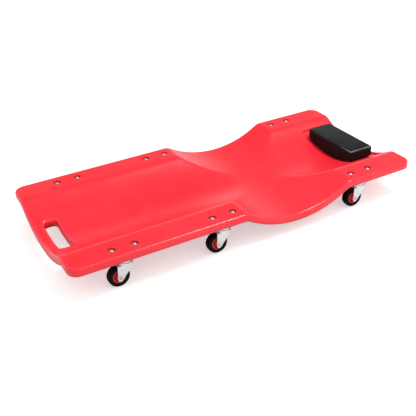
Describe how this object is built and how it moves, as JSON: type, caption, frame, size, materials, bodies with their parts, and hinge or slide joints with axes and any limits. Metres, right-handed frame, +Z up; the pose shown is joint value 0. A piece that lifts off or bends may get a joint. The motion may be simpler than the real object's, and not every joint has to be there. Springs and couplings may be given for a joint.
{
  "type": "mechanics creeper",
  "caption": "Low dished plastic creeper board on swivel casters, with a padded headrest at one end and a carrying slot at the other, for lying under a vehicle.",
  "frame": {"origin": "middle of the board's footprint, on the floor under the wheels", "axes": "+X towards the head end, +Y towards the left of someone lying face up with the head at +X, +Z up"},
  "size_m": [0.914, 0.421, 0.096],
  "materials": {
    "board_plastic": "satin blow-moulded polyethylene, bright red, with a soft gloss",
    "headrest_vinyl": "black grained vinyl, soft sheen",
    "headrest_foam": "pale open-cell foam",
    "headrest_ply": "bare bent plywood",
    "fastener_steel": "bright zinc-plated steel",
    "zinc_plate": "zinc-plated pressed steel, bright",
    "bearing_steel": "hardened bearing steel, polished and greased",
    "hub_plastic": "moulded red polypropylene",
    "tyre_rubber": "black moulded rubber, satin side walls and worn tread"
  },
  "bodies": {
    "root": {"deck": "board_plastic", "headrest_cover": "headrest_vinyl", "headrest_foam": "headrest_foam", "headrest_board": "headrest_ply", "headrest_screws": "fastener_steel", "deck_bolts": "fastener_steel", "bolt_washers": "fastener_steel", "lock_nuts": "fastener_steel", "foot_left_plate": "zinc_plate", "foot_left_kingpin": "fastener_steel", "foot_left_balls": "bearing_steel", "foot_right_plate": "zinc_plate", "foot_right_kingpin": "fastener_steel", "foot_right_balls": "bearing_steel", "middle_left_plate": "zinc_plate", "middle_left_kingpin": "fastener_steel", "middle_left_balls": "bearing_steel", "middle_right_plate": "zinc_plate", "middle_right_kingpin": "fastener_steel", "middle_right_balls": "bearing_steel", "head_left_plate": "zinc_plate", "head_left_kingpin": "fastener_steel", "head_left_balls": "bearing_steel", "head_right_plate": "zinc_plate", "head_right_kingpin": "fastener_steel", "head_right_balls": "bearing_steel"},
    "foot_left_caster": {"foot_left_fork": "zinc_plate", "foot_left_axle": "fastener_steel", "foot_left_sleeve": "bearing_steel"},
    "foot_left_wheel": {"foot_left_hub": "hub_plastic", "foot_left_tyre": "tyre_rubber"},
    "foot_right_caster": {"foot_right_fork": "zinc_plate", "foot_right_axle": "fastener_steel", "foot_right_sleeve": "bearing_steel"},
    "foot_right_wheel": {"foot_right_hub": "hub_plastic", "foot_right_tyre": "tyre_rubber"},
    "middle_left_caster": {"middle_left_fork": "zinc_plate", "middle_left_axle": "fastener_steel", "middle_left_sleeve": "bearing_steel"},
    "middle_left_wheel": {"middle_left_hub": "hub_plastic", "middle_left_tyre": "tyre_rubber"},
    "middle_right_caster": {"middle_right_fork": "zinc_plate", "middle_right_axle": "fastener_steel", "middle_right_sleeve": "bearing_steel"},
    "middle_right_wheel": {"middle_right_hub": "hub_plastic", "middle_right_tyre": "tyre_rubber"},
    "head_left_caster": {"head_left_fork": "zinc_plate", "head_left_axle": "fastener_steel", "head_left_sleeve": "bearing_steel"},
    "head_left_wheel": {"head_left_hub": "hub_plastic", "head_left_tyre": "tyre_rubber"},
    "head_right_caster": {"head_right_fork": "zinc_plate", "head_right_axle": "fastener_steel", "head_right_sleeve": "bearing_steel"},
    "head_right_wheel": {"head_right_hub": "hub_plastic", "head_right_tyre": "tyre_rubber"}
  },
  "joints": [
    {"name": "foot_left_swivel", "type": "hinge", "parent": "root", "child": "foot_left_caster", "pos_m": [-0.326, 0.179, 0.06], "axis": [0, 0, 1], "continuous": true},
    {"name": "foot_left_roll", "type": "hinge", "parent": "foot_left_caster", "child": "foot_left_wheel", "pos_m": [-0.3445, 0.179, 0.025], "axis": [0, 1, 0], "continuous": true},
    {"name": "foot_right_swivel", "type": "hinge", "parent": "root", "child": "foot_right_caster", "pos_m": [-0.326, -0.179, 0.06], "axis": [0, 0, 1], "continuous": true},
    {"name": "foot_right_roll", "type": "hinge", "parent": "foot_right_caster", "child": "foot_right_wheel", "pos_m": [-0.3445, -0.179, 0.025], "axis": [0, 1, 0], "continuous": true},
    {"name": "middle_left_swivel", "type": "hinge", "parent": "root", "child": "middle_left_caster", "pos_m": [-0.082, 0.179, 0.06], "axis": [0, 0, 1], "continuous": true},
    {"name": "middle_left_roll", "type": "hinge", "parent": "middle_left_caster", "child": "middle_left_wheel", "pos_m": [-0.1005, 0.179, 0.025], "axis": [0, 1, 0], "continuous": true},
    {"name": "middle_right_swivel", "type": "hinge", "parent": "root", "child": "middle_right_caster", "pos_m": [-0.082, -0.179, 0.06], "axis": [0, 0, 1], "continuous": true},
    {"name": "middle_right_roll", "type": "hinge", "parent": "middle_right_caster", "child": "middle_right_wheel", "pos_m": [-0.1005, -0.179, 0.025], "axis": [0, 1, 0], "continuous": true},
    {"name": "head_left_swivel", "type": "hinge", "parent": "root", "child": "head_left_caster", "pos_m": [0.311, 0.179, 0.06], "axis": [0, 0, 1], "continuous": true},
    {"name": "head_left_roll", "type": "hinge", "parent": "head_left_caster", "child": "head_left_wheel", "pos_m": [0.2925, 0.179, 0.025], "axis": [0, 1, 0], "continuous": true},
    {"name": "head_right_swivel", "type": "hinge", "parent": "root", "child": "head_right_caster", "pos_m": [0.311, -0.179, 0.06], "axis": [0, 0, 1], "continuous": true},
    {"name": "head_right_roll", "type": "hinge", "parent": "head_right_caster", "child": "head_right_wheel", "pos_m": [0.2925, -0.179, 0.025], "axis": [0, 1, 0], "continuous": true}
  ]
}
